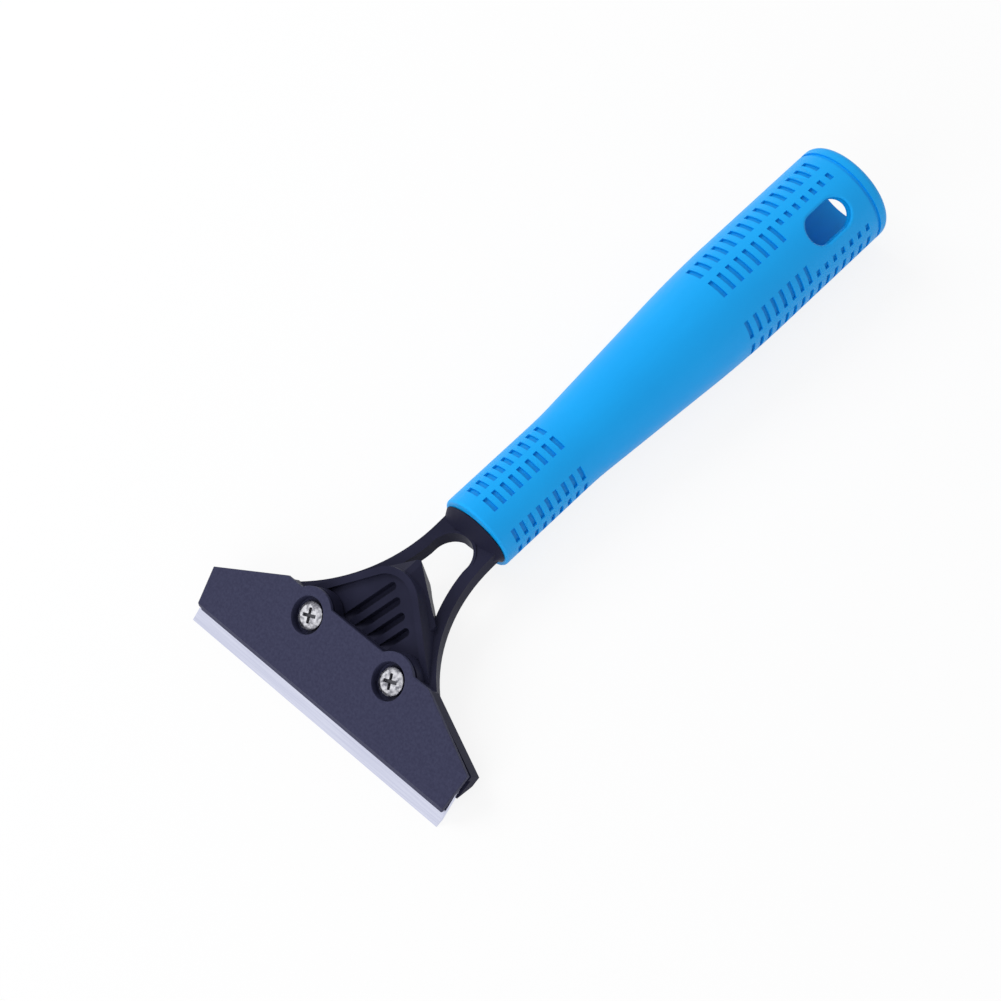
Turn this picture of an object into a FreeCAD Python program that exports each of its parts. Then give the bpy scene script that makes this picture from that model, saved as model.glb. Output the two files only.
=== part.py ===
import FreeCAD, Part
import math
import os
import re

import Sketcher

Vector = FreeCAD.Vector
Rotation = FreeCAD.Rotation
Placement = FreeCAD.Placement

os.makedirs("parts", exist_ok=True)
doc = FreeCAD.newDocument("hob_scraper")
sheet = doc.addObject("Spreadsheet::Sheet", "Sizes")

# Driving sizes, in millimetres and degrees
sizes = {
    # Handle
    "handle_length": 153.3,
    "collar_wall": 3.2,
    "collar_round": 0.8,
    "flare_start": 36.5,
    "flare_ease": 4.0,
    "flare_slope": 4.13,
    "flare_blend": 27.0,
    "socket_radius": 13.0,
    "socket_length": 60.0,
    "tail_wall": 2.97,
    "tail_round": 2.2,
    "bulkhead": 3.0,
    "groove_inset": 4.4,
    "groove_width": 1.3,
    "groove_depth": 0.6,
    "dash_width": 1.5,
    "dash_depth": 0.7,
    "dash_near": 5.0,
    "dash_far": 28.0,
    "dash_short": 13.5,
    "collar_dash_first": 5.3,
    "collar_dash_pitch": 3.22,
    "tail_dash_pitch": 3.5,
    "hang_length": 16.0,
    "hang_width": 9.6,
    "hang_roll": 43.5,
    "hang_round": 0.8,
    # Handle, measured forward from the tail end
    "tail_dash_first": 58.1,
    "hang_middle": 19.1,
    # Head frame, level part
    "spigot_radius": 8.5,
    "spigot_length": 38.0,
    "spigot_gap": 0.05,
    "neck_gap": 0.3,
    "neck_half": 11.2,
    "neck_rise": 8.8,
    "neck_length": 2.9,
    "neck_step": 0.5,
    "arm_height": 4.0,
    "arm_width": 3.6,
    "arm_radius": 46.5,
    "arm_root_half": 10.0,
    "arm_root_back": 5.0,
    "arm_level": 0.4,
    "arm_tilt": 3.0,
    "window_radius": 6.8,
    "window_back": 10.0,
    "lip_width": 0.9,
    "lip_rise": 0.5,
    "lip_sink": 0.1,
    "web_back": 25.2,
    "web_height": 2.0,
    "block_back": 18.4,
    "block_slope": 35.4,
    "block_top": 9.0,
    "block_ridge_half": 1.0,
    "block_fall": 28.0,
    # Head frame, inclined part
    "head_reach": 62.87,
    "head_drop": 6.92,
    "head_slope": 31.75,
    "base_height": 3.8,
    "base_setback": 0.8,
    "sole_level": 7.7,
    "pad_reach": 46.4,
    "pad_round": 11.3,
    "pad_rim": 2.0,
    "pad_drop": 5.4,
    "pad_recess": 1.3,
    "pad_floor": 3.3,
    "pad_under": 3.2,
    "rib_slot_width": 2.4,
    "rib_slot_depth": 2.4,
    "rib_slot_slope": 27.5,
    "rib_slot_across": -1.67,
    "rib_slot_along": 36.44,
    "rib_slot_side_step": 3.64,
    "rib_slot_down_step": 2.58,
    "rib_slot_inset": 0.8,
    # Clamp plate
    "plate_thickness": 2.0,
    "plate_front_half": 49.9,
    "plate_bevel": 1.6,
    "plate_foot": 0.8,
    "plate_undercut": 0.8,
    "shoulder_half": 51.35,
    "shoulder_rise": 11.0,
    "crown_half": 28.2,
    "crown_rise": 22.5,
    "lobe_radius": 8.0,
    "screw_half_gap": 16.3,
    "screw_rise": 17.2,
    "bore_radius": 5.3,
    "bore_floor": 2.9,
    "boss_wall": 1.2,
    "boss_floor": 1.5,
    "boss_gap": 0.1,
    # Blade
    "blade_half": 50.0,
    "blade_width": 15.0,
    "blade_thickness": 1.0,
    "blade_showing": 5.44,
    "blade_gap": 0.05,
    "blade_bevel": 2.2,
    "blade_edge": 0.15,
    # Screws and nuts
    "shank_radius": 2.0,
    "shank_length": 7.4,
    "screw_gap": 0.1,
    "screw_head_radius": 4.0,
    "screw_head_height": 2.0,
    "screw_head_round": 0.6,
    "cross_length": 4.4,
    "cross_width": 0.9,
    "cross_depth": 1.2,
    "nut_flats": 7.0,
    "nut_height": 3.2,
    "nut_gap": 0.05,
    "nut_cover": 2.15,
    "nut_boss_radius": 6.5,
}

for row, (alias, size) in enumerate(sizes.items(), start=1):
    sheet.set("A%d" % row, alias)
    sheet.set("B%d" % row, str(size))
    sheet.setAlias("B%d" % row, alias)
doc.recompute()

formula_words = {"sin", "cos", "tan", "sqrt"}


def cells(text):
    def named(match):
        word = match.group(0)
        return word if word in formula_words else "Sizes." + word

    return re.sub(r"[a-z_]{3,}", named, str(text))


def size_of(text):
    return float(sheet.evalExpression(cells(text)))


def bind(item, prop, text):
    item.setExpression(prop, cells(text))


# Pieces made from primitives
def box(name, length, width, height, place):
    item = doc.addObject("Part::Box", name)
    bind(item, "Length", length)
    bind(item, "Width", width)
    bind(item, "Height", height)
    item.Placement = place
    return item


def cylinder(name, radius, height, place, angle=360):
    item = doc.addObject("Part::Cylinder", name)
    bind(item, "Radius", radius)
    bind(item, "Height", height)
    item.Angle = angle
    item.Placement = place
    return item


def cone(name, low_radius, high_radius, height, place):
    item = doc.addObject("Part::Cone", name)
    bind(item, "Radius1", low_radius)
    bind(item, "Radius2", high_radius)
    bind(item, "Height", height)
    item.Placement = place
    return item


def outline(name, corners, place):
    sketch = doc.addObject("Sketcher::SketchObject", name)
    points = [Vector(size_of(across), size_of(along), 0) for across, along in corners]
    count = len(points)
    for index, point in enumerate(points):
        sketch.addGeometry(Part.LineSegment(point, points[(index + 1) % count]))
    for index in range(count):
        sketch.addConstraint(Sketcher.Constraint("Coincident", index, 2, (index + 1) % count, 1))
    for index, (across, along) in enumerate(corners):
        for kind, text in (("DistanceX", across), ("DistanceY", along)):
            number = sketch.addConstraint(Sketcher.Constraint(kind, -1, 1, index, 1, size_of(text)))
            bind(sketch, "Constraints[%d]" % number, text)
    sketch.Placement = place
    return sketch


def prism(name, corners, low, high, place):
    item = doc.addObject("Part::Extrusion", name)
    item.Base = outline(name + "_outline", corners, place)
    item.DirMode = "Normal"
    bind(item, "LengthFwd", high)
    bind(item, "LengthRev", "-(%s)" % low)
    item.Solid = True
    return item


def fuse(name, items):
    item = doc.addObject("Part::MultiFuse", name)
    item.Shapes = items
    return item


def cut(name, base, tool):
    item = doc.addObject("Part::Cut", name)
    item.Base = base
    item.Tool = tool
    return item


def shaped(name, shape):
    item = doc.addObject("Part::Feature", name)
    item.Shape = shape
    return item


# Frames: the tool frame has the handle's axis on Y and the collar's front face at zero
head_angle = math.radians(size_of("head_slope"))
plate_place = Placement(
    Vector(0, -size_of("head_reach"), -size_of("head_drop")),
    Rotation(Vector(1, 0, 0), size_of("head_slope")),
)
arm_place = Placement(
    Vector(0, -size_of("arm_root_back"), -size_of("arm_level")),
    Rotation(Vector(1, 0, 0), size_of("arm_tilt")),
)
along_handle = Rotation(Vector(1, 0, 0), -90)
level = Rotation()


def on_plate(across, along, height, turn=0):
    spot = Vector(size_of(across), size_of(along), size_of(height))
    return plate_place.multiply(Placement(spot, Rotation(Vector(0, 0, 1), turn)))


def on_arms(across, along, height, turn=0):
    spot = Vector(size_of(across), size_of(along), size_of(height))
    return arm_place.multiply(Placement(spot, Rotation(Vector(0, 0, 1), turn)))


# Handle: revolved profile, then recesses and the hanging slot
collar_radius = size_of("spigot_radius + spigot_gap + collar_wall")
tail_radius = size_of("socket_radius + tail_wall")
flare_angle = math.radians(size_of("flare_slope"))
flare_blend = size_of("flare_blend")
blend_rise = flare_blend * math.tan(flare_angle / 2)
flare_start = size_of("flare_start")
flare_ease = size_of("flare_ease")
ease_radius = flare_ease / math.tan(flare_angle / 2)
ease_start = flare_start - flare_ease
ease_end = ease_start + ease_radius * math.sin(flare_angle)
flare_run = (tail_radius - collar_radius - blend_rise) / math.tan(flare_angle)
blend_start = flare_start + flare_run
blend_end = blend_start + flare_blend
blend_radius = flare_blend / math.sin(flare_angle)
handle_length = size_of("handle_length")
collar_round = size_of("collar_round")
tail_round = size_of("tail_round")
groove_middle = handle_length - size_of("groove_inset")
groove_half = size_of("groove_width / 2")
groove_floor = tail_radius - size_of("groove_depth")
seat_end = size_of("spigot_length")
core_start = size_of("spigot_length + bulkhead")
socket_start = handle_length - size_of("socket_length")
front_bore = size_of("spigot_radius + spigot_gap")
socket_radius = size_of("socket_radius")
core_radius = size_of("spigot_radius")


def station(radius, along):
    return Vector(radius, along, 0)


def ease_point(share):
    turn = flare_angle * share
    radius = collar_radius + ease_radius * (1 - math.cos(turn))
    return station(radius, ease_start + ease_radius * math.sin(turn))


def blend_point(share):
    turn = flare_angle * (1 - share)
    radius = tail_radius - blend_radius * (1 - math.cos(turn))
    return station(radius, blend_end - blend_radius * math.sin(turn))


def round_middle(centre, radius, degrees):
    turn = math.radians(degrees)
    return station(centre[0] + radius * math.cos(turn), centre[1] + radius * math.sin(turn))


# The profile runs round the wall once; a pair is an arc's middle and its end
collar_flat = collar_radius - collar_round
tail_flat = tail_radius - tail_round
tail_turn = handle_length - tail_round
profile = [
    station(0, seat_end),
    station(front_bore, seat_end),
    station(front_bore, 0),
    station(collar_flat, 0),
    (round_middle((collar_flat, collar_round), collar_round, -45), station(collar_radius, collar_round)),
    ease_point(0),
    (ease_point(0.5), ease_point(1)),
    blend_point(0),
    (blend_point(0.5), blend_point(1)),
    station(tail_radius, groove_middle - groove_half),
    station(groove_floor, groove_middle - groove_half),
    station(groove_floor, groove_middle + groove_half),
    station(tail_radius, groove_middle + groove_half),
    station(tail_radius, tail_turn),
    (round_middle((tail_flat, tail_turn), tail_round, 45), station(tail_flat, handle_length)),
    station(socket_radius, handle_length),
    station(socket_radius, socket_start),
    station(core_radius, core_start),
    station(0, core_start),
    station(0, seat_end),
]
grip_profile = doc.addObject("Sketcher::SketchObject", "grip_profile")
last = profile[0]
for step in profile[1:]:
    if isinstance(step, tuple):
        grip_profile.addGeometry(Part.Arc(last, *step))
        last = step[1]
    else:
        grip_profile.addGeometry(Part.LineSegment(last, step))
        last = step
grip_blank = doc.addObject("Part::Revolution", "grip_blank")
grip_blank.Source = grip_profile
grip_blank.Axis = Vector(0, 1, 0)
grip_blank.Angle = 360
grip_blank.Solid = True
doc.recompute()


def outer_radius(along):
    if along <= ease_start:
        return collar_radius
    if along <= ease_end:
        return collar_radius + ease_radius - math.sqrt(ease_radius ** 2 - (along - ease_start) ** 2)
    if along <= blend_start:
        return collar_radius + (along - flare_start) * math.tan(flare_angle)
    if along < blend_end:
        return tail_radius - blend_radius + math.sqrt(blend_radius ** 2 - (blend_end - along) ** 2)
    return tail_radius


# One dash is a ring sector; the start angle is measured from up toward the right
def dash(along, start, end):
    floor = outer_radius(along) - size_of("dash_depth")
    reach = tail_radius + 4
    width = size_of("dash_width")
    base = Vector(0, along - width / 2, 0)
    sector = Part.makeCylinder(reach, width, base, Vector(0, 1, 0), end - start)
    core = Part.makeCylinder(floor, width, base, Vector(0, 1, 0), 360)
    ring = sector.cut(core).Solids[0]
    reference = ring.CenterOfMass
    found = math.degrees(math.atan2(reference.x, reference.z))
    ring.rotate(Vector(0, 0, 0), Vector(0, 1, 0), (start + end) / 2 - found)
    return ring


collar_dashes = 9
tail_dashes = 15
full_tail_dashes = 8
dash_near = size_of("dash_near")
dash_far = size_of("dash_far")
dash_short = size_of("dash_short")
slot_rows = {(0, 1), (1, -1)}
dashes = []
for quarter in range(4):
    for side in (-1, 1):
        middle = 90 * quarter
        full = sorted((middle + side * dash_near, middle + side * dash_far))
        brief = sorted((middle + side * dash_near, middle + side * dash_short))
        for index in range(collar_dashes):
            dashes.append(dash(size_of("collar_dash_first + collar_dash_pitch * %d" % index), *full))
        for index in range(tail_dashes):
            beside_slot = (quarter, side) in slot_rows and index >= full_tail_dashes
            spread = brief if beside_slot else full
            along = "handle_length - tail_dash_first + tail_dash_pitch * %d" % index
            dashes.append(dash(size_of(along), *spread))
grip_recesses = shaped("grip_recesses", Part.makeCompound(dashes))

hang_half = size_of("(hang_length - hang_width) / 2")
hang_along = size_of("handle_length - hang_middle")
hang_low = size_of("socket_radius / 2")
hang_reach = "socket_radius + tail_wall + 6"
hang_turn = Rotation(Vector(0, 1, 0), size_of("hang_roll"))


def in_slot(across, along, height):
    return Placement(hang_turn.multVec(Vector(across, 0, height)) + Vector(0, along, 0), hang_turn)


hang_front_place = in_slot(0, hang_along - hang_half, hang_low)
hang_rear_place = in_slot(0, hang_along + hang_half, hang_low)
hang_front = cylinder("hang_front", "hang_width / 2", hang_reach, hang_front_place)
hang_rear = cylinder("hang_rear", "hang_width / 2", hang_reach, hang_rear_place)
hang_box = box(
    "hang_box",
    "hang_width",
    "hang_length - hang_width",
    hang_reach,
    in_slot(-size_of("hang_width / 2"), hang_along - hang_half, hang_low),
)
hang_tool = fuse("hang_tool", [hang_front, hang_box, hang_rear])
handle_slotted = cut("handle_slotted", grip_blank, hang_tool)
doc.recompute()
slot_facing = hang_turn.multVec(Vector(0, 0, 1))


# The slot's outer rim is where its wall meets the outside of the tail
def on_slot_rim(edge):
    middle = edge.valueAt((edge.FirstParameter + edge.LastParameter) / 2)
    outward = Vector(middle.x, 0, middle.z)
    beside = abs(middle.y - hang_along) < size_of("hang_length / 2 + hang_round")
    outside = abs(outward.Length - outer_radius(middle.y)) < size_of("tail_wall / 4")
    return beside and outside and outward.dot(slot_facing) > size_of("socket_radius / 2")


rim_edges = [index for index, edge in enumerate(handle_slotted.Shape.Edges, start=1) if on_slot_rim(edge)]
handle_eased = doc.addObject("Part::Fillet", "handle_eased")
handle_eased.Base = handle_slotted
handle_eased.Edges = [(index, size_of("hang_round"), size_of("hang_round")) for index in rim_edges]
handle = cut("handle", handle_eased, grip_recesses)

# Clamp plate outline, shared with the base under it
plate_corners = [
    ("-plate_front_half", "-plate_bevel"),
    ("plate_front_half", "-plate_bevel"),
    ("plate_front_half", "0"),
    ("shoulder_half", "shoulder_rise"),
    ("crown_half", "crown_rise"),
    ("-crown_half", "crown_rise"),
    ("-shoulder_half", "shoulder_rise"),
    ("-plate_front_half", "0"),
]
base_corners = [
    ("-plate_front_half", "0"),
    ("plate_front_half", "0"),
    ("shoulder_half", "shoulder_rise"),
    ("crown_half", "crown_rise - base_setback"),
    ("-crown_half", "crown_rise - base_setback"),
    ("-shoulder_half", "shoulder_rise"),
]
sides = (("left", "-screw_half_gap"), ("right", "screw_half_gap"))

# The plate's lower part is set in, which leaves a shadow gap over the base
foot_corners = [
    ("-plate_front_half + plate_undercut", "-plate_bevel"),
    ("plate_front_half - plate_undercut", "-plate_bevel"),
    ("shoulder_half - plate_undercut", "shoulder_rise - plate_undercut / 2"),
    ("crown_half", "crown_rise - plate_undercut"),
    ("-crown_half", "crown_rise - plate_undercut"),
    ("-shoulder_half + plate_undercut", "shoulder_rise - plate_undercut / 2"),
]
plate_solids = [
    prism("plate_slab", plate_corners, "-plate_thickness + plate_foot", "0", plate_place),
    prism("plate_foot_slab", foot_corners, "-plate_thickness", "-plate_thickness / 4", plate_place),
]
plate_cuts = []
for side, across in sides:
    plate_solids.append(
        cylinder(
            side + "_plate_lobe",
            "lobe_radius",
            "plate_thickness - plate_foot",
            on_plate(across, "screw_rise", "-plate_thickness + plate_foot"),
        )
    )
    plate_solids.append(
        cylinder(
            side + "_plate_lobe_foot",
            "lobe_radius - plate_undercut",
            "plate_thickness * 3 / 4",
            on_plate(across, "screw_rise", "-plate_thickness"),
        )
    )
    plate_solids.append(
        cylinder(
            side + "_plate_boss",
            "bore_radius + boss_wall",
            "bore_floor + boss_floor",
            on_plate(across, "screw_rise", "-bore_floor - boss_floor"),
        )
    )
    plate_cuts.append(
        cylinder(
            side + "_counterbore",
            "bore_radius",
            "bore_floor + 1",
            on_plate(across, "screw_rise", "-bore_floor"),
        )
    )
    plate_cuts.append(
        cylinder(
            side + "_plate_hole",
            "shank_radius + screw_gap",
            "bore_floor + boss_floor + 2",
            on_plate(across, "screw_rise", "-bore_floor - boss_floor - 1"),
        )
    )
bevel_corners = [
    ("-plate_bevel", "-plate_thickness"),
    ("0", "0"),
    ("0", "2"),
    ("-plate_bevel - 2", "2"),
    ("-plate_bevel - 2", "-plate_thickness"),
]
across_plate = plate_place.multiply(Placement(Vector(0, 0, 0), Rotation(Vector(1, 1, 1), 120)))
plate_cuts.append(
    prism("plate_front_bevel", bevel_corners, "-shoulder_half - 5", "shoulder_half + 5", across_plate)
)
plate_blank = fuse("plate_blank", plate_solids)
clamp_plate = cut("clamp_plate", plate_blank, fuse("plate_tools", plate_cuts))

# Blade: one cross-section drawn across the plate and extruded along the cutting edge
blade_corners = [
    ("-blade_showing", "-plate_thickness - blade_gap - blade_edge"),
    ("blade_bevel - blade_showing", "-plate_thickness - blade_gap - blade_thickness"),
    ("blade_width - blade_showing", "-plate_thickness - blade_gap - blade_thickness"),
    ("blade_width - blade_showing", "-plate_thickness - blade_gap"),
    ("-blade_showing", "-plate_thickness - blade_gap"),
]
blade = prism("blade", blade_corners, "-blade_half", "blade_half", across_plate)

# Head frame, inclined part: base, screw seats and pad
base_low = "-plate_thickness - base_height"
base_solids = [prism("base_slab", base_corners, base_low, "-plate_thickness", plate_place)]
base_cuts = []
nut_top = "-bore_floor - boss_floor - nut_cover"
for side, across in sides:
    base_solids.append(
        cylinder(side + "_base_lobe", "lobe_radius", "base_height", on_plate(across, "screw_rise", base_low))
    )
    base_solids.append(
        cylinder(
            side + "_nut_boss",
            "nut_boss_radius",
            "bore_floor + boss_floor + nut_cover + nut_height - plate_thickness - 0.5",
            on_plate(across, "screw_rise", "-bore_floor - boss_floor - nut_cover - nut_height - 0.2"),
        )
    )
    base_cuts.append(
        cylinder(
            side + "_boss_socket",
            "bore_radius + boss_wall + boss_gap",
            "bore_floor + boss_floor + boss_gap",
            on_plate(across, "screw_rise", "-bore_floor - boss_floor - boss_gap"),
        )
    )
    base_cuts.append(
        cylinder(
            side + "_frame_hole",
            "shank_radius + screw_gap",
            "bore_floor + boss_floor + nut_cover + nut_height + 4",
            on_plate(across, "screw_rise", "-bore_floor - boss_floor - nut_cover - nut_height - 3"),
        )
    )
    pocket = doc.addObject("Part::Prism", side + "_nut_pocket")
    pocket.Polygon = 6
    bind(pocket, "Circumradius", "(nut_flats / 2 + nut_gap) / cos(30)")
    bind(pocket, "Height", "nut_height + 3")
    pocket.Placement = on_plate(across, "screw_rise", nut_top + " - nut_height - 3")
    base_cuts.append(pocket)
pocket_floor = "-plate_thickness - blade_thickness - blade_gap * 3"
base_cuts.append(
    box(
        "blade_pocket",
        "shoulder_half * 2 + 20",
        "blade_width - blade_showing + blade_gap + 10",
        "blade_thickness + blade_gap * 3 + 5",
        on_plate("-shoulder_half - 10", "-10", pocket_floor),
    )
)
sole_corner = Vector(-size_of("shoulder_half + 10"), -size_of("head_reach + 20"), -size_of("sole_level + 20"))
base_cuts.append(box("sole_cut", "shoulder_half * 2 + 20", "40", "20", Placement(sole_corner, level)))


def rounded_vee(name, reach, radius, foot, low, high):
    reach = size_of(reach)
    radius = size_of(radius)
    foot = size_of(foot)
    centre = reach - radius * math.sqrt(2)
    touch = radius / math.sqrt(2)
    right = Vector(touch, centre + touch, 0)
    left = Vector(-touch, centre + touch, 0)
    edges = [
        Part.LineSegment(Vector(-(reach - foot), foot, 0), Vector(reach - foot, foot, 0)),
        Part.LineSegment(Vector(reach - foot, foot, 0), right),
        Part.Arc(right, Vector(0, centre + radius, 0), left),
        Part.LineSegment(left, Vector(-(reach - foot), foot, 0)),
    ]
    sketch = doc.addObject("Sketcher::SketchObject", name + "_outline")
    for edge in edges:
        sketch.addGeometry(edge)
    sketch.Placement = plate_place
    item = doc.addObject("Part::Extrusion", name)
    item.Base = sketch
    item.DirMode = "Normal"
    bind(item, "LengthFwd", high)
    bind(item, "LengthRev", "-(%s)" % low)
    item.Solid = True
    return item


pad_foot = "crown_rise - base_height * 1.5"
floor_reach = "pad_reach - pad_rim * sqrt(2)"
floor_round = "pad_round - pad_rim"
pad_block = rounded_vee("pad_block", "pad_reach", "pad_round", pad_foot, "-pad_drop - 14", "-pad_drop")
block_run = math.tan(math.radians(size_of("block_slope")))
block_half = size_of("arm_root_half") + 4
block_back = size_of("block_back")
block_front = block_back + block_run * block_half
vee_block = shaped(
    "vee_block",
    Part.Face(
        Part.makePolygon(
            [
                Vector(0, -block_back, 0),
                Vector(block_half, -block_front, 0),
                Vector(block_half, -block_front - 6, 0),
                Vector(-block_half, -block_front - 6, 0),
                Vector(-block_half, -block_front, 0),
                Vector(0, -block_back, 0),
            ]
        )
    ).extrude(Vector(0, 0, size_of("block_top") + 10)),
)
vee_block.Placement = Placement(Vector(0, 0, -10), level)
behind_half = size_of("arm_root_half * 4")
behind_front = block_back + block_run * behind_half
behind_vee = shaped(
    "behind_vee",
    Part.Face(
        Part.makePolygon(
            [
                Vector(0, -block_back, 0),
                Vector(behind_half, -behind_front, 0),
                Vector(behind_half, behind_half, 0),
                Vector(-behind_half, behind_half, 0),
                Vector(-behind_half, -behind_front, 0),
                Vector(0, -block_back, 0),
            ]
        )
    ).extrude(Vector(0, 0, behind_half * 2)),
)
behind_vee.Placement = Placement(Vector(0, 0, -behind_half), level)
pad_front = cut("pad_front", pad_block, behind_vee)
block_trims = [
    box(
        "block_above",
        "arm_root_half * 6",
        "pad_reach + 20",
        "30",
        on_plate("-arm_root_half * 3", "0", "-pad_drop"),
    )
]
for side, mirror in (("left", -1), ("right", 1)):
    fall = Rotation(Vector(0, 1, 0), mirror * size_of("block_fall"))
    ridge = Vector(mirror * size_of("block_ridge_half"), -size_of("head_reach"), size_of("block_top"))
    shift = Vector(0 if mirror > 0 else -size_of("arm_root_half * 4"), 0, 0)
    block_trims.append(
        box(
            side + "_block_fall",
            "arm_root_half * 4",
            "head_reach",
            "30",
            Placement(ridge + fall.multVec(shift), fall),
        )
    )
vee_roof = cut("vee_roof", vee_block, fuse("block_tools", block_trims))
pad_raw = fuse("pad_raw", [pad_front, vee_roof])
pad_above = rounded_vee("pad_above", "pad_reach", "pad_round", "crown_rise - 20", "-pad_drop", "30")
pad_below = box(
    "pad_below",
    "200",
    "100",
    "30",
    Placement(
        Vector(-100, -90, -30 - size_of("arm_level + arm_height / 2 + arm_tilt * 0.2")), level
    ),
)
pad_core = rounded_vee(
    "pad_core",
    "pad_reach - pad_rim * 2",
    "pad_round - pad_rim * 1.4",
    "crown_rise + 4",
    "-60",
    "-pad_drop - pad_recess - pad_floor",
)
base_cuts.append(pad_core)
pad_shape = cut("pad_shape", pad_raw, fuse("pad_tools", [pad_above, pad_below]))

# Head frame, level part: neck, arms, web and window lip
spigot = cylinder(
    "spigot",
    "spigot_radius",
    "spigot_length + neck_gap",
    Placement(Vector(0, -size_of("neck_gap"), 0), along_handle),
)


def neck_section(along, half, rise, height):
    middle = Vector(0, along, height)
    return Part.Wire(Part.Ellipse(middle + Vector(half, 0, 0), middle + Vector(0, 0, rise), middle).toShape())


neck_back = -size_of("neck_gap")
neck_front = neck_back - size_of("neck_length")
neck_low_rise = size_of("arm_height / 2 + neck_step")
neck = shaped(
    "neck",
    Part.makeLoft(
        [
            neck_section(neck_back, size_of("neck_half"), size_of("neck_rise"), 0),
            neck_section(neck_front, size_of("arm_root_half"), neck_low_rise, -size_of("arm_level")),
        ],
        True,
        True,
    ),
)
arm_root = box(
    "arm_root",
    "arm_root_half * 2",
    "arm_root_back - neck_gap - neck_length / 4 + 1",
    "arm_height",
    on_arms("-arm_root_half", "-1", "-arm_height / 2"),
)

arm_solids = []
arm_centre = "arm_root_half + arm_radius"
for side, mirror in (("left", -1), ("right", 1)):
    middle = "%d * (%s)" % (mirror, arm_centre)
    outer = cylinder(
        side + "_arm_outer", "arm_radius + arm_width", "arm_height", on_arms(middle, "0", "-arm_height / 2")
    )
    inner = cylinder(
        side + "_arm_inner", "arm_radius", "arm_height + 2", on_arms(middle, "0", "-arm_height / 2 - 1")
    )
    ring = cut(side + "_arm_ring", outer, inner)
    keep = doc.addObject("Part::Common", side + "_arm")
    keep.Base = ring
    reach = size_of("head_reach - crown_rise * cos(head_slope) - arm_root_back") + 2
    keep.Tool = box(
        side + "_arm_keep",
        "arm_root_half * 4",
        str(reach),
        "arm_height + 4",
        on_arms("0" if mirror > 0 else "-arm_root_half * 4", str(-reach), "-arm_height / 2 - 2"),
    )
    arm_solids.append(keep)

web_slab = box(
    "web_slab",
    "arm_root_half * 6",
    "head_reach - crown_rise * cos(head_slope) - web_back + base_height",
    "web_height",
    on_arms(
        "-arm_root_half * 3",
        "arm_root_back - head_reach + crown_rise * cos(head_slope) - base_height",
        "-arm_height / 2 + 0.6",
    ),
)
web_trims = []
for side, mirror in (("left", -1), ("right", 1)):
    middle = "%d * (%s)" % (mirror, arm_centre)
    web_trims.append(
        cylinder(
            side + "_web_trim",
            "arm_radius + arm_width / 2",
            "arm_height + 8",
            on_arms(middle, "0", "-arm_height / 2 - 4"),
        )
    )
web = cut("web", web_slab, fuse("web_tools", web_trims))
# The lip's top leans back, so it rises from the arms to its full height behind the window
lip_reach = size_of("window_radius + lip_width")
lip_lean = math.degrees(math.atan2(size_of("lip_rise + lip_sink"), lip_reach))
lip_pivot = on_arms("0", "arm_root_back - window_back", "arm_height / 2 - lip_sink")
lip_top = lip_pivot.multiply(Placement(Vector(), Rotation(Vector(1, 0, 0), lip_lean)))
lip_blank = cylinder(
    "lip_blank",
    "window_radius + lip_width",
    "arm_height + lip_rise * 2",
    on_arms("0", "arm_root_back - window_back", "-arm_height / 2"),
    180,
)
lip_slope = box(
    "lip_slope",
    "(window_radius + lip_width) * 4",
    "(window_radius + lip_width) * 4",
    "arm_height",
    lip_top.multiply(Placement(Vector(-lip_reach * 2, -lip_reach * 2, 0), level)),
)
lip = cut("window_lip", lip_blank, lip_slope)
window_tool = fuse(
    "window_tool",
    [
        cylinder(
            "window_round",
            "window_radius",
            "60",
            Placement(Vector(0, -size_of("window_back"), -30), level),
        ),
        box(
            "window_gap",
            "window_radius * 2",
            "4",
            "60",
            Placement(Vector(-size_of("window_radius"), -size_of("window_back") - 4, -30), level),
        ),
    ],
)
rear_raw = fuse("rear_raw", [neck, arm_root, lip] + arm_solids)
rear_open = cut("rear_open", rear_raw, window_tool)

# Four slanted recesses in the pad floor, which run in under the base
rib_slots = []
slot_turn = size_of("rib_slot_slope")
rib_slot_count = 4
slot_low = "-pad_drop - pad_recess - rib_slot_depth"
hollow_foot = "crown_rise - pad_under"
for number in range(rib_slot_count):
    tip_across = "rib_slot_across + rib_slot_side_step * %d" % number
    tip_along = "rib_slot_along - rib_slot_down_step * %d" % number
    slot_fall = size_of("%s - (%s) - rib_slot_inset" % (tip_along, hollow_foot))
    length = slot_fall / math.cos(math.radians(slot_turn))
    place = on_plate(tip_across, tip_along, slot_low, -slot_turn)
    rib_slots.append(cylinder("slot_tip_%d" % number, "rib_slot_width / 2", "rib_slot_depth + 1", place))
    run = place.multiply(Placement(Vector(-size_of("rib_slot_width / 2"), -length, 0), level))
    rib_slots.append(box("slot_run_%d" % number, "rib_slot_width", str(length), "rib_slot_depth + 1", run))
pad_hollow = rounded_vee(
    "pad_hollow", floor_reach, floor_round, hollow_foot, "-pad_drop - pad_recess", "-pad_drop + 1"
)
pad_open = cut("pad_open", pad_shape, fuse("pad_floor_tools", [pad_hollow] + rib_slots))
frame_raw = fuse("frame_raw", base_solids + [pad_open, web, rear_open])
frame_cut = cut("frame_cut", frame_raw, fuse("base_tools", base_cuts))
head_frame = fuse("head_frame", [frame_cut, spigot])

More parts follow.
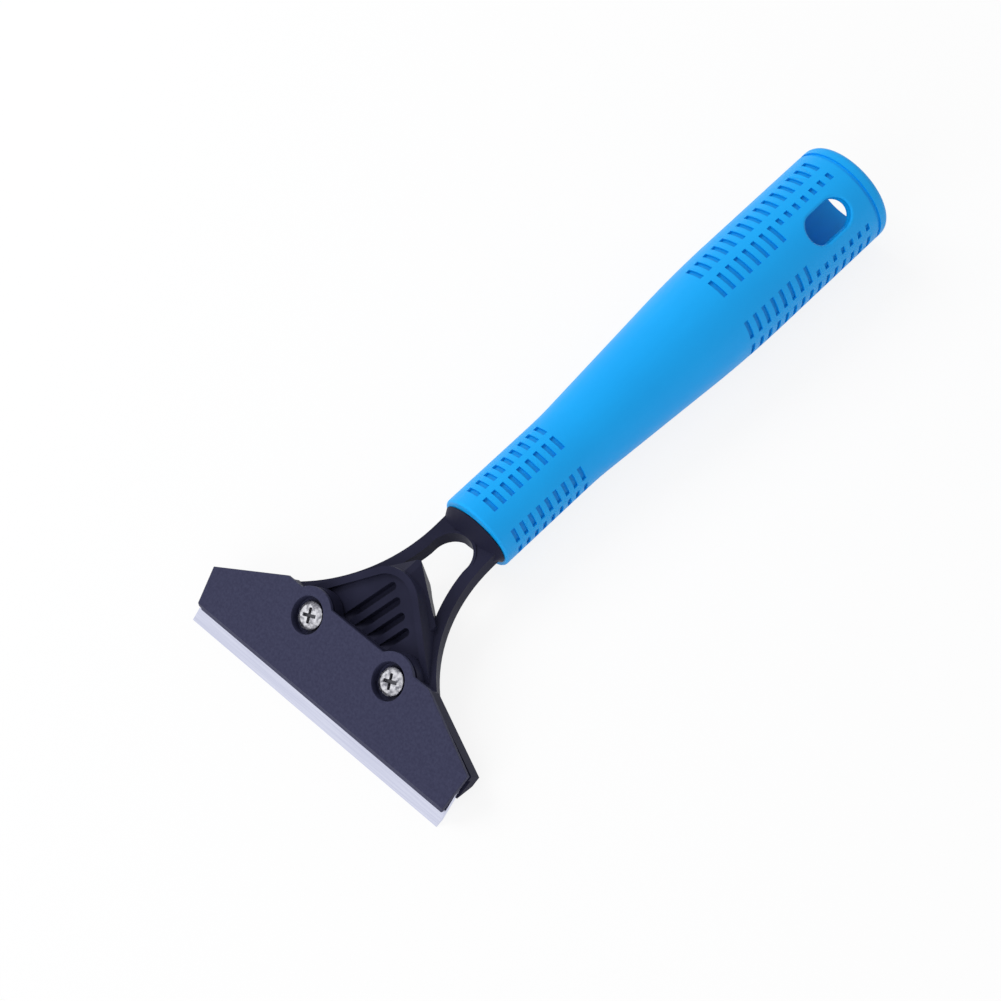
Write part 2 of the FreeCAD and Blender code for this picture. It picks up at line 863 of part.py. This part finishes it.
# Screws and nuts
screws = {}
nuts = {}
for side, across in sides:
    head = cylinder(
        side + "_screw_head",
        "screw_head_radius",
        "screw_head_height - screw_head_round",
        on_plate(across, "screw_rise", "-bore_floor"),
    )
    dome = cone(
        side + "_screw_dome",
        "screw_head_radius",
        "screw_head_radius - screw_head_round * 1.6",
        "screw_head_round",
        on_plate(across, "screw_rise", "-bore_floor + screw_head_height - screw_head_round"),
    )
    shank = cylinder(
        side + "_screw_shank",
        "shank_radius",
        "shank_length + 0.5",
        on_plate(across, "screw_rise", "-bore_floor - shank_length"),
    )
    bars = []
    for number, turn in ((1, 20), (2, 110)):
        place = on_plate(across, "screw_rise", "-bore_floor + screw_head_height - cross_depth", turn)
        shift = Placement(Vector(-size_of("cross_length / 2"), -size_of("cross_width / 2"), 0), level)
        bar = "%s_cross_%d" % (side, number)
        bars.append(box(bar, "cross_length", "cross_width", "cross_depth + 1", place.multiply(shift)))
    screws[side] = cut(
        side + "_screw", fuse(side + "_screw_blank", [head, dome, shank]), fuse(side + "_cross", bars)
    )
    hexagon = doc.addObject("Part::Prism", side + "_nut_blank")
    hexagon.Polygon = 6
    bind(hexagon, "Circumradius", "nut_flats / 2 / cos(30)")
    bind(hexagon, "Height", "nut_height")
    hexagon.Placement = on_plate(across, "screw_rise", nut_top + " - nut_height")
    nuts[side] = cut(
        side + "_nut",
        hexagon,
        cylinder(
            side + "_nut_bore",
            "shank_radius + nut_gap",
            "nut_height + 2",
            on_plate(across, "screw_rise", nut_top + " - nut_height - 1"),
        ),
    )

doc.recompute()

# Rest pose: the cutting edge and the underside of the flare both lie on the ground
edge_local = Vector(0, -size_of("blade_showing"), -size_of("plate_thickness + blade_gap + blade_edge"))
edge = plate_place.multVec(edge_local)
span = blend_end - edge.y
drop = tail_radius - blend_radius + edge.z
rest_angle = math.asin(blend_radius / math.hypot(span, drop)) - math.atan2(-drop, span)
rest_turn = Rotation(Vector(1, 0, 0), math.degrees(rest_angle))
edge_rest = rest_turn.multVec(edge)
tail_rest = rest_turn.multVec(Vector(0, handle_length, -(tail_radius - tail_round)))
tail_reach = tail_rest.y + tail_round * (1 - math.cos(rest_angle))
rest = Placement(Vector(0, -(edge_rest.y + tail_reach) / 2, -edge_rest.z), rest_turn)

nodes = {
    "handle": handle,
    "head_frame": head_frame,
    "clamp_plate": clamp_plate,
    "blade": blade,
    "left_screw": screws["left"],
    "right_screw": screws["right"],
    "left_nut": nuts["left"],
    "right_nut": nuts["right"],
}
for label, node in nodes.items():
    node.Label = label
    node.Placement = rest.multiply(node.Placement)
doc.recompute()

for item in doc.Objects:
    state = list(item.State)
    if "Invalid" in state or "Error" in state:
        raise RuntimeError("%s is in state %s" % (item.Label, state))

for label, node in nodes.items():
    shape = node.Shape
    if shape.isNull() or not shape.isValid():
        raise RuntimeError("%s has no valid shape" % label)
    if len(shape.Solids) != 1:
        raise RuntimeError("%s has %d solids" % (label, len(shape.Solids)))
    shape.exportStep("parts/%s.step" % label)
    bounds = shape.optimalBoundingBox()
    print(
        "%s volume %.1f x %.2f..%.2f y %.2f..%.2f z %.2f..%.2f"
        % (label, shape.Volume, bounds.XMin, bounds.XMax, bounds.YMin, bounds.YMax, bounds.ZMin, bounds.ZMax)
    )

print("rest angle %.4f degrees" % math.degrees(rest_angle))
print("rest shift y %.4f z %.4f" % (rest.Base.y, rest.Base.z))
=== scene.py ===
import math

import bpy
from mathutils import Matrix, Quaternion, Vector

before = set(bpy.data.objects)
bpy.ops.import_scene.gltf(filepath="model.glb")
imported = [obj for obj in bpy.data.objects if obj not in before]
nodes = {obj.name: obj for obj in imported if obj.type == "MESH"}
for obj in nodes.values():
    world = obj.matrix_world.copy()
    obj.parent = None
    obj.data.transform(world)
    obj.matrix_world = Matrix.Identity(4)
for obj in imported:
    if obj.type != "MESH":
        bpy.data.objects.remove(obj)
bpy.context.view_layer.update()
print("frame loaded:", ", ".join(sorted(nodes)))


# small helpers for shader nodes
def newMaterial(name):
    material = bpy.data.materials.new(name)
    material.use_nodes = True
    tree = material.node_tree
    return material, tree, tree.nodes["Principled BSDF"]


def addObjectCoords(tree):
    return tree.nodes.new("ShaderNodeTexCoord").outputs["Object"]


def addMapping(tree, vector, place=(0, 0, 0), turn=(0, 0, 0), scale=(1, 1, 1)):
    mapping = tree.nodes.new("ShaderNodeMapping")
    mapping.inputs["Location"].default_value = place
    mapping.inputs["Rotation"].default_value = turn
    mapping.inputs["Scale"].default_value = scale
    tree.links.new(vector, mapping.inputs["Vector"])
    return mapping.outputs["Vector"]


def addLevel(tree, coords, tilt, point):  # measures from a point, with a tilt about X taken out
    angle = math.radians(tilt)
    start = Vector(point)
    start.rotate(Quaternion((1, 0, 0), -angle))
    return addMapping(tree, coords, place=-start, turn=(-angle, 0, 0))


def addParts(tree, vector):
    parts = tree.nodes.new("ShaderNodeSeparateXYZ")
    tree.links.new(vector, parts.inputs["Vector"])
    return parts.outputs


def addMath(tree, operation, *sources):  # a source is a number or another node's output
    node = tree.nodes.new("ShaderNodeMath")
    node.operation = operation
    for socket, source in zip(node.inputs, sources):
        if isinstance(source, float):
            socket.default_value = source
        else:
            tree.links.new(source, socket)
    return node.outputs["Value"]


def addNoise(tree, vector, scale, detail):
    noise = tree.nodes.new("ShaderNodeTexNoise")
    noise.inputs["Scale"].default_value = scale
    noise.inputs["Detail"].default_value = detail
    tree.links.new(vector, noise.inputs["Vector"])
    return noise.outputs["Fac"]


def addRange(tree, source, low, high, start=0.0, end=1.0):
    spread = tree.nodes.new("ShaderNodeMapRange")
    spread.inputs["From Min"].default_value = start
    spread.inputs["From Max"].default_value = end
    spread.inputs["To Min"].default_value = low
    spread.inputs["To Max"].default_value = high
    tree.links.new(source, spread.inputs["Value"])
    return spread.outputs["Result"]


def addTint(tree, source, cfg):  # from the deep to the light tone, between two stops
    ramp = tree.nodes.new("ShaderNodeValToRGB")
    deep, light = ramp.color_ramp.elements
    deep.position, light.position = cfg["tintStops"]
    deep.color = cfg["deep"]
    light.color = cfg["light"]
    tree.links.new(source, ramp.inputs["Fac"])
    return ramp.outputs["Color"]


def addBlend(tree, share, under, over):
    blend = tree.nodes.new("ShaderNodeMix")
    blend.data_type = "RGBA"
    blend.inputs["B"].default_value = over
    tree.links.new(share, blend.inputs["Factor"])
    tree.links.new(under, blend.inputs["A"])
    return blend.outputs["Result"]


def addBump(tree, shader, source, cfg):
    bump = tree.nodes.new("ShaderNodeBump")
    bump.inputs["Strength"].default_value = cfg["bump"]
    bump.inputs["Distance"].default_value = cfg["bumpDistance"]
    tree.links.new(source, bump.inputs["Height"])
    tree.links.new(bump.outputs["Normal"], shader.inputs["Normal"])


def setSlot(node, material):
    mesh = node.data
    mesh.materials.clear()
    mesh.materials.append(material)


# blue grip; painted shade makes the floors of the moulded recesses a deeper blue than the outside
gripFinish = {
    "deep": (0.004, 0.365, 0.88, 1),
    "light": (0.004, 0.385, 0.91, 1),
    "tintStops": (0.3, 0.72),
    "mottleScale": 45,
    "mottleDetail": 3,
    "roughness": (0.42, 0.50),
    "roughScale": 225,
    "roughDetail": 4,
    "specular": 0.22,
    "grainScale": 3000,
    "grainDetail": 2,
    "bump": 0.04,
    "bumpDistance": 0.0002,
}
# painted shade: the deeper blue given to the recess floors, where shade falls
gripPaintedShade = {
    "tone": (0.001, 0.275, 0.72, 1),
    "axisTilt": 1.4542,  # degrees about X
    "axisStart": (0, -0.04379, 0.01333),  # middle of the collar's front face
    "collarRadius": 0.01175,
    "tailRadius": 0.01597,
    "flare": (0.0365, 0.095),  # start and end, measured along the axis
    "depth": (0.00036, 0.0006),
    "wallDepth": (0.0011, 0.0013),  # deeper faces belong to the slot and the bore
    "zone": (0.003, 0.1475),  # the two end faces stay plain
}


# painted shade mask: faces sunk below the grip's outside surface, short of the deeper slot and bore, away
# from the end faces
def addPaintedRecessShade(tree, coords, cfg):
    straight = addLevel(tree, coords, cfg["axisTilt"], cfg["axisStart"])
    along = addParts(tree, straight)["Y"]
    across = addMapping(tree, straight, scale=(1, 0, 1))
    radius = tree.nodes.new("ShaderNodeVectorMath")
    radius.operation = "LENGTH"
    tree.links.new(across, radius.inputs[0])
    outside = addRange(tree, along, cfg["collarRadius"], cfg["tailRadius"], *cfg["flare"])
    depth = addMath(tree, "SUBTRACT", outside, radius.outputs["Value"])
    sunk = addRange(tree, depth, 0, 1, *cfg["depth"])
    shallow = addRange(tree, depth, 1, 0, *cfg["wallDepth"])
    low, high = cfg["zone"]
    within = addMath(tree, "COMPARE", along, (low + high) / 2, (high - low) / 2)
    return addMath(tree, "MULTIPLY", addMath(tree, "MULTIPLY", sunk, shallow), within)


def makePlastic(name, cfg, recessShade=None):
    material, tree, shader = newMaterial(name)
    coords = addObjectCoords(tree)
    tint = addTint(tree, addNoise(tree, coords, cfg["mottleScale"], cfg["mottleDetail"]), cfg)
    if recessShade:
        # painted shade blended over the tint in the recesses
        tint = addBlend(tree, addPaintedRecessShade(tree, coords, recessShade), tint, recessShade["tone"])
    tree.links.new(tint, shader.inputs["Base Color"])
    patches = addNoise(tree, coords, cfg["roughScale"], cfg["roughDetail"])
    tree.links.new(addRange(tree, patches, *cfg["roughness"]), shader.inputs["Roughness"])
    addBump(tree, shader, addNoise(tree, coords, cfg["grainScale"], cfg["grainDetail"]), cfg)
    shader.inputs["Specular IOR Level"].default_value = cfg["specular"]
    return material


setSlot(nodes["handle"], makePlastic("bluePlastic", gripFinish, gripPaintedShade))
print("grip plastic set")

# black frame
frameFinish = {
    "deep": (0.014, 0.0145, 0.031, 1),
    "light": (0.020, 0.0205, 0.043, 1),
    "tintStops": (0.3, 0.7),
    "mottleScale": 70,
    "mottleDetail": 3,
    "roughness": (0.38, 0.50),
    "roughScale": 350,
    "roughDetail": 4,
    "specular": 0.06,
    "grainScale": 3200,
    "grainDetail": 2,
    "bump": 0.06,
    "bumpDistance": 0.0002,
}
setSlot(nodes["head_frame"], makePlastic("frameBlack", frameFinish))

# satin clamp plate
plateFinish = {
    "deep": (0.024, 0.025, 0.058, 1),
    "light": (0.034, 0.036, 0.076, 1),
    "tintStops": (0.3, 0.7),
    "mottleScale": 1300,
    "mottleDetail": 3,
    "roughness": (0.48, 0.60),
    "roughScale": 6500,
    "roughDetail": 4,
    "specular": 0.2,
    "grainScale": 2400,
    "grainDetail": 2,
    "bump": 0.12,
    "bumpDistance": 0.0002,
}
setSlot(nodes["clamp_plate"], makePlastic("plateSatin", plateFinish))
print("black plastics set")

# steel blade, brushed along its length
bladeFinish = {
    "deep": (0.60, 0.62, 0.77, 1),
    "light": (0.70, 0.72, 0.86, 1),
    "tintStops": (0.35, 0.65),
    "metallic": 1.0,
    "roughness": (0.28, 0.38),
    "brushStretch": (14, 900, 900),
    "brushScale": 3.0,
    "brushDetail": 4,
    "bump": 0.03,
    "bumpDistance": 0.0001,
}


def makeBladeSteel(cfg):
    material, tree, shader = newMaterial("bladeSteel")
    shader.inputs["Metallic"].default_value = cfg["metallic"]
    stretched = addMapping(tree, addObjectCoords(tree), scale=cfg["brushStretch"])
    brush = addNoise(tree, stretched, cfg["brushScale"], cfg["brushDetail"])
    tree.links.new(addTint(tree, brush, cfg), shader.inputs["Base Color"])
    tree.links.new(addRange(tree, brush, *cfg["roughness"]), shader.inputs["Roughness"])
    addBump(tree, shader, brush, cfg)
    return material


setSlot(nodes["blade"], makeBladeSteel(bladeFinish))

# zinc plated screws and nuts; painted shade darkens the screws below their head tops, in the cross recesses
# and down the heads' sides
zincFinish = {
    "deep": (0.23, 0.23, 0.265, 1),
    "light": (0.78, 0.78, 0.83, 1),
    "tintStops": (0.36, 0.6),
    "mottleScale": 900,
    "mottleDetail": 5,
    "metallic": 1.0,
    "roughness": (0.30, 0.48),
    "bump": 0.15,
    "bumpDistance": 0.0002,
}
# painted shade: a darker tone for everything on the screws more than about 0.7 mm below the head's top face
screwPaintedShade = {
    "tone": (0.10, 0.10, 0.115, 1),
    "headTilt": 33.2042,  # degrees about X, from level to the plate's face
    "headTop": (0, -0.091579, 0.013486),  # on the face of both screw heads
    "depth": (0.00055, 0.00085),
}


def makeZinc(name, cfg, paintedHeadShade=None):
    material, tree, shader = newMaterial(name)
    shader.inputs["Metallic"].default_value = cfg["metallic"]
    coords = addObjectCoords(tree)
    mottle = addNoise(tree, coords, cfg["mottleScale"], cfg["mottleDetail"])
    tint = addTint(tree, mottle, cfg)
    # painted shade below the screw head's top face, blended over the mottle
    if paintedHeadShade:
        near, far = paintedHeadShade["depth"]
        height = addParts(tree, addLevel(tree, coords, paintedHeadShade["headTilt"], paintedHeadShade["headTop"]))["Z"]
        tint = addBlend(tree, addRange(tree, height, 1, 0, -far, -near), tint, paintedHeadShade["tone"])
    tree.links.new(tint, shader.inputs["Base Color"])
    tree.links.new(addRange(tree, mottle, *cfg["roughness"]), shader.inputs["Roughness"])
    addBump(tree, shader, mottle, cfg)
    return material


screwZinc = makeZinc("screwZinc", zincFinish, screwPaintedShade)
nutZinc = makeZinc("nutZinc", zincFinish)
for side in ("left", "right"):
    setSlot(nodes[side + "_screw"], screwZinc)
    setSlot(nodes[side + "_nut"], nutZinc)
print("metals set")

# every piece but the blade has small radii on its edges
edgeRadii = {
    "handle": (0.00022, 0.000002),  # radius, and how near two corners are joined
    "head_frame": (0.0003, 0.0001),
    "clamp_plate": (0.0003, 0.000002),
    "left_screw": (0.00015, 0.000002),
    "right_screw": (0.00015, 0.000002),
    "left_nut": (0.00012, 0.000002),
    "right_nut": (0.00012, 0.000002),
}
edgeSetup = {
    "flatAngle": 0.4,  # degrees within which triangles count as one flat face
    "bevelAngle": 28,  # degrees at which an edge starts to be rounded
    "segments": 3,
    "profile": 0.5,
    "normalWeight": 60,
}


def softenEdges(node, radius, join, cfg):
    weld = node.modifiers.new("weld", "WELD")
    weld.merge_threshold = join
    flatten = node.modifiers.new("flatFaces", "DECIMATE")
    flatten.decimate_type = "DISSOLVE"
    flatten.angle_limit = math.radians(cfg["flatAngle"])
    bevel = node.modifiers.new("softEdge", "BEVEL")
    bevel.width = radius
    bevel.segments = cfg["segments"]
    bevel.limit_method = "ANGLE"
    bevel.angle_limit = math.radians(cfg["bevelAngle"])
    bevel.profile = cfg["profile"]
    flats = node.modifiers.new("flatNormals", "WEIGHTED_NORMAL")  # wide faces stay flat beside the bevels
    flats.weight = cfg["normalWeight"]
    flats.keep_sharp = True


for nodeName, (radius, join) in edgeRadii.items():
    softenEdges(nodes[nodeName], radius, join, edgeSetup)
print("edges softened")

# floor, light and camera
studio = {
    "floorSize": 3.0,
    "floorCells": 2,
    "floorTone": (0.9, 0.9, 0.91, 1),
    "floorRoughness": 0.9,
    "floorGlow": 0.86,
    "worldTone": (1.0, 1.0, 1.0, 1),
    "worldStrength": 0.55,
    "seenStrength": 1.0,
}
lamps = {
    "keyLamp": {"place": (-0.78, -0.1, 0.9), "size": 0.7, "power": 6.8},
    "fillLamp": {"place": (0.25, -1.1, 0.5), "size": 0.9, "power": 6.5},
}
cameraSetup = {
    "place": (0.349554, -0.249890, 0.560164),
    "lookAt": (0.010691, -0.039984, 0.034131),
    "roll": -15.7063,
    "sensor": 36.0,
    "lens": 89.946,
    "nearClip": 0.01,
}


def addSeenRays(tree):  # the camera and every reflection see a white background
    rays = tree.nodes.new("ShaderNodeLightPath").outputs
    seen = addMath(tree, "MAXIMUM", rays["Is Camera Ray"], rays["Is Glossy Ray"])
    return addMath(tree, "MAXIMUM", seen, rays["Is Transmission Ray"])


def mixSurface(tree, output, share, first, second):
    mix = tree.nodes.new("ShaderNodeMixShader")
    tree.links.new(share, mix.inputs["Fac"])
    tree.links.new(first, mix.inputs[1])
    tree.links.new(second, mix.inputs[2])
    tree.links.new(mix.outputs["Shader"], output.inputs["Surface"])


def makeFloor(cfg):
    cells = cfg["floorCells"]
    bpy.ops.mesh.primitive_grid_add(x_subdivisions=cells, y_subdivisions=cells, size=cfg["floorSize"])
    floor = bpy.context.object
    floor.name = "floor"
    material, tree, shader = newMaterial("floorPale")
    shader.inputs["Base Color"].default_value = cfg["floorTone"]
    shader.inputs["Roughness"].default_value = cfg["floorRoughness"]
    glow = tree.nodes.new("ShaderNodeEmission")
    share = addMath(tree, "MULTIPLY", addSeenRays(tree), cfg["floorGlow"])
    output = tree.nodes["Material Output"]
    mixSurface(tree, output, share, shader.outputs["BSDF"], glow.outputs["Emission"])
    floor.data.materials.append(material)


def makeWorld(cfg):
    world = bpy.data.worlds.new("studioWorld")
    world.use_nodes = True
    bpy.context.scene.world = world
    tree = world.node_tree
    ambient = tree.nodes["Background"]
    ambient.inputs["Color"].default_value = cfg["worldTone"]
    ambient.inputs["Strength"].default_value = cfg["worldStrength"]
    bright = tree.nodes.new("ShaderNodeBackground")
    bright.inputs["Color"].default_value = cfg["worldTone"]
    bright.inputs["Strength"].default_value = cfg["seenStrength"]
    output = tree.nodes["World Output"]
    mixSurface(tree, output, addSeenRays(tree), ambient.outputs["Background"], bright.outputs["Background"])


def makeLamp(name, cfg):
    data = bpy.data.lights.new(name, "AREA")
    data.size = cfg["size"]
    data.energy = cfg["power"]
    lamp = bpy.data.objects.new(name, data)
    bpy.context.scene.collection.objects.link(lamp)
    place = Vector(cfg["place"])
    lamp.location = place
    lamp.rotation_euler = (-place).to_track_quat("-Z", "Y").to_euler()
    lamp.visible_glossy = False  # leaves no white patch on the blade


def makeCamera(cfg):
    data = bpy.data.cameras.new("camera")
    data.sensor_fit = "HORIZONTAL"
    data.sensor_width = cfg["sensor"]
    data.lens = cfg["lens"]
    data.clip_start = cfg["nearClip"]
    camera = bpy.data.objects.new("camera", data)
    bpy.context.scene.collection.objects.link(camera)
    place = Vector(cfg["place"])
    aim = (Vector(cfg["lookAt"]) - place).to_track_quat("-Z", "Y")
    camera.location = place
    camera.rotation_mode = "QUATERNION"
    camera.rotation_quaternion = aim @ Quaternion((0, 0, 1), math.radians(cfg["roll"]))
    bpy.context.scene.camera = camera


makeFloor(studio)
makeWorld(studio)
for lampName, lampSetup in lamps.items():
    makeLamp(lampName, lampSetup)
makeCamera(cameraSetup)
bpy.context.scene.view_settings.view_transform = "Standard"
print("studio ready")
